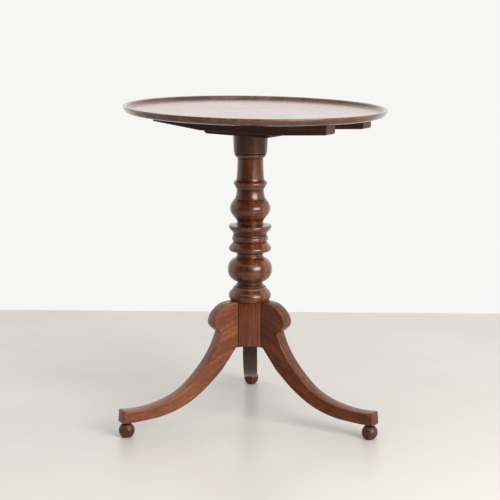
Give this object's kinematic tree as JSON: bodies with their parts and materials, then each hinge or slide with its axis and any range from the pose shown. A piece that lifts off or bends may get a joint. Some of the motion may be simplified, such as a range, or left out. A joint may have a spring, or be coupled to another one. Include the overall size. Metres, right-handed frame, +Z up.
{
  "type": "tilt top table",
  "caption": "Round tilt-top tripod table: a dished mahogany top hinged on a block over a ring-turned column, with sabre legs on ball feet.",
  "frame": {"origin": "on the floor, under the middle of the bounding box", "axes": "+Z up; +Y along the back leg; the hinge end of the top is towards +X and -Y, the catch end towards -X"},
  "size_m": [0.5806, 0.6104, 0.7088],
  "materials": {
    "mahogany_top": "old mahogany, waxed and polished to a soft gloss",
    "mahogany_frame": "dark red-brown mahogany, polished, worn pale on the arrises",
    "inner_wood": "oiled hidden wood, dull",
    "brass": "aged brass",
    "iron": "dark wrought iron, slightly rusty"
  },
  "bodies": {
    "base": {"tilt_block": "inner_wood", "pivot_pin_near": "inner_wood", "pivot_pin_far": "inner_wood", "column": "mahogany_frame", "tenon_wedge": "inner_wood", "leg_back": "mahogany_frame", "ball_foot_back": "mahogany_frame", "leg_left": "mahogany_frame", "ball_foot_left": "mahogany_frame", "leg_right": "mahogany_frame", "ball_foot_right": "mahogany_frame", "leg_brace": "iron", "brace_screw_centre": "iron", "brace_screw_back": "iron", "brace_screw_left": "iron", "brace_screw_right": "iron", "keeper_plate": "brass", "keeper_screw_near": "brass", "keeper_screw_far": "brass"},
    "top": {"top_board": "mahogany_top", "batten_near": "mahogany_frame", "batten_far": "mahogany_frame", "batten_screw_near_1": "iron", "batten_screw_near_2": "iron", "batten_screw_near_3": "iron", "batten_screw_far_1": "iron", "batten_screw_far_2": "iron", "batten_screw_far_3": "iron", "catch_plate": "brass", "catch_screw_1": "brass", "catch_screw_2": "brass", "catch_screw_3": "brass", "catch_screw_4": "brass"},
    "catch_bolt": {"catch_bolt": "brass"}
  },
  "joints": [
    {"name": "top_tilt", "type": "hinge", "parent": "base", "child": "top", "pos_m": [0.0496, -0.04946, 0.67406], "axis": [0.5, 0.866, -0.0064], "range_deg": [0, 88]},
    {"name": "catch_slide", "type": "slide", "parent": "top", "child": "catch_bolt", "axis": [0.866, -0.5, -0.011], "range_m": [0, 0.007]}
  ]
}
